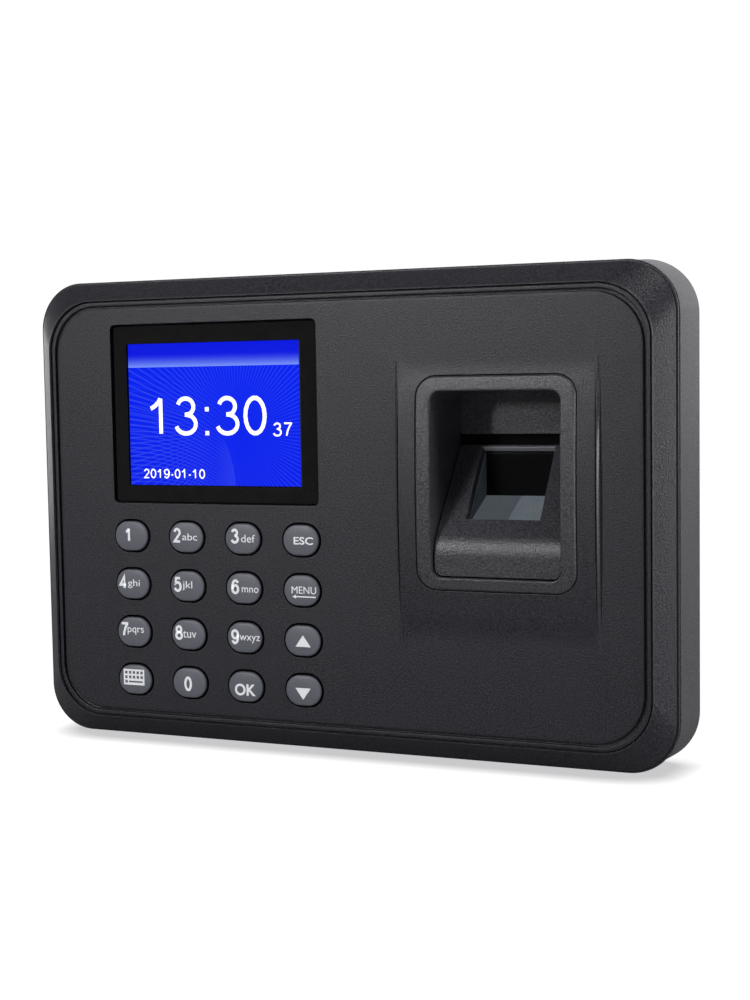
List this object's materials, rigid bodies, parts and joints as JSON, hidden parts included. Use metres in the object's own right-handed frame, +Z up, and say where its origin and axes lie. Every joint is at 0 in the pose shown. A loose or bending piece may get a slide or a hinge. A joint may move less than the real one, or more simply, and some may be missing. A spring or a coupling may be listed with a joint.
{
  "type": "fingerprint time clock terminal",
  "caption": "Wall-hung fingerprint terminal: framed display, push-key pad, ramped finger recess with glass sensor, and a hook-on steel wall plate.",
  "frame": {"origin": "centre of the wall plate's back face, in the wall plane", "axes": "+X to the right seen from the front, +Z up, front faces -Y, wall at y = 0"},
  "size_m": [0.1724, 0.0321, 0.1204],
  "materials": {
    "housing_plastic": "fine spark-eroded texture, satin",
    "back_plastic": "fine texture, satin",
    "bezel_plastic": "fine texture, satin",
    "key_plastic": "smooth satin caps with white printed legends",
    "lens_acrylic": "clear acrylic window, polished",
    "gasket_black": "black foam tape",
    "display_glass": "lit colour display",
    "white_plastic": "moulded",
    "flex_film": "polyimide film",
    "silicone": "moulded silicone",
    "sensor_glass": "polished optical glass",
    "black_plastic": "moulded",
    "circuit_board": "solder-mask green",
    "ribbon_cable": "flat cable",
    "chip_epoxy": "moulded epoxy",
    "connector_nylon": "natural nylon",
    "bright_steel": "nickel-plated",
    "screw_steel": "zinc-plated",
    "plated_steel": "zinc-plated sheet"
  },
  "bodies": {
    "terminal": {"front_shell": "housing_plastic", "back_shell": "back_plastic", "display_lens": "lens_acrylic", "lens_gasket": "gasket_black", "lcd_panel": "display_glass", "lcd_backlight": "white_plastic", "display_ribbon": "flex_film", "keypad_mat": "silicone", "scanner_bezel": "bezel_plastic", "finger_guide": "bezel_plastic", "sensor_window": "sensor_glass", "sensor_prism": "sensor_glass", "sensor_housing": "black_plastic", "sensor_camera": "black_plastic", "sensor_board": "circuit_board", "sensor_cable": "ribbon_cable", "main_board": "circuit_board", "processor_chip": "chip_epoxy", "memory_chip": "chip_epoxy", "sensor_connector": "connector_nylon", "battery_holder": "black_plastic", "clock_battery": "bright_steel", "speaker": "black_plastic", "usb_port": "bright_steel", "power_jack": "black_plastic", "board_screw_1": "screw_steel", "board_screw_2": "screw_steel", "board_screw_3": "screw_steel", "board_screw_4": "screw_steel", "case_screw_1": "screw_steel", "case_screw_2": "screw_steel", "case_screw_3": "screw_steel", "case_screw_4": "screw_steel", "wall_plate": "plated_steel", "lock_screw": "screw_steel"},
    "key_1": {"key_1": "key_plastic"},
    "key_2": {"key_2": "key_plastic"},
    "key_3": {"key_3": "key_plastic"},
    "key_esc": {"key_esc": "key_plastic"},
    "key_4": {"key_4": "key_plastic"},
    "key_5": {"key_5": "key_plastic"},
    "key_6": {"key_6": "key_plastic"},
    "key_menu": {"key_menu": "key_plastic"},
    "key_7": {"key_7": "key_plastic"},
    "key_8": {"key_8": "key_plastic"},
    "key_9": {"key_9": "key_plastic"},
    "key_up": {"key_up": "key_plastic"},
    "key_input": {"key_input": "key_plastic"},
    "key_0": {"key_0": "key_plastic"},
    "key_ok": {"key_ok": "key_plastic"},
    "key_down": {"key_down": "key_plastic"}
  },
  "joints": [
    {"name": "key_1_press", "type": "slide", "parent": "terminal", "child": "key_1", "axis": [0, 1, 0], "range_m": [0, 0.001], "stiffness_N_per_m": 50},
    {"name": "key_2_press", "type": "slide", "parent": "terminal", "child": "key_2", "axis": [0, 1, 0], "range_m": [0, 0.001], "stiffness_N_per_m": 50},
    {"name": "key_3_press", "type": "slide", "parent": "terminal", "child": "key_3", "axis": [0, 1, 0], "range_m": [0, 0.001], "stiffness_N_per_m": 50},
    {"name": "key_esc_press", "type": "slide", "parent": "terminal", "child": "key_esc", "axis": [0, 1, 0], "range_m": [0, 0.001], "stiffness_N_per_m": 50},
    {"name": "key_4_press", "type": "slide", "parent": "terminal", "child": "key_4", "axis": [0, 1, 0], "range_m": [0, 0.001], "stiffness_N_per_m": 50},
    {"name": "key_5_press", "type": "slide", "parent": "terminal", "child": "key_5", "axis": [0, 1, 0], "range_m": [0, 0.001], "stiffness_N_per_m": 50},
    {"name": "key_6_press", "type": "slide", "parent": "terminal", "child": "key_6", "axis": [0, 1, 0], "range_m": [0, 0.001], "stiffness_N_per_m": 50},
    {"name": "key_menu_press", "type": "slide", "parent": "terminal", "child": "key_menu", "axis": [0, 1, 0], "range_m": [0, 0.001], "stiffness_N_per_m": 50},
    {"name": "key_7_press", "type": "slide", "parent": "terminal", "child": "key_7", "axis": [0, 1, 0], "range_m": [0, 0.001], "stiffness_N_per_m": 50},
    {"name": "key_8_press", "type": "slide", "parent": "terminal", "child": "key_8", "axis": [0, 1, 0], "range_m": [0, 0.001], "stiffness_N_per_m": 50},
    {"name": "key_9_press", "type": "slide", "parent": "terminal", "child": "key_9", "axis": [0, 1, 0], "range_m": [0, 0.001], "stiffness_N_per_m": 50},
    {"name": "key_up_press", "type": "slide", "parent": "terminal", "child": "key_up", "axis": [0, 1, 0], "range_m": [0, 0.001], "stiffness_N_per_m": 50},
    {"name": "key_input_press", "type": "slide", "parent": "terminal", "child": "key_input", "axis": [0, 1, 0], "range_m": [0, 0.001], "stiffness_N_per_m": 50},
    {"name": "key_0_press", "type": "slide", "parent": "terminal", "child": "key_0", "axis": [0, 1, 0], "range_m": [0, 0.001], "stiffness_N_per_m": 50},
    {"name": "key_ok_press", "type": "slide", "parent": "terminal", "child": "key_ok", "axis": [0, 1, 0], "range_m": [0, 0.001], "stiffness_N_per_m": 50},
    {"name": "key_down_press", "type": "slide", "parent": "terminal", "child": "key_down", "axis": [0, 1, 0], "range_m": [0, 0.001], "stiffness_N_per_m": 50}
  ]
}
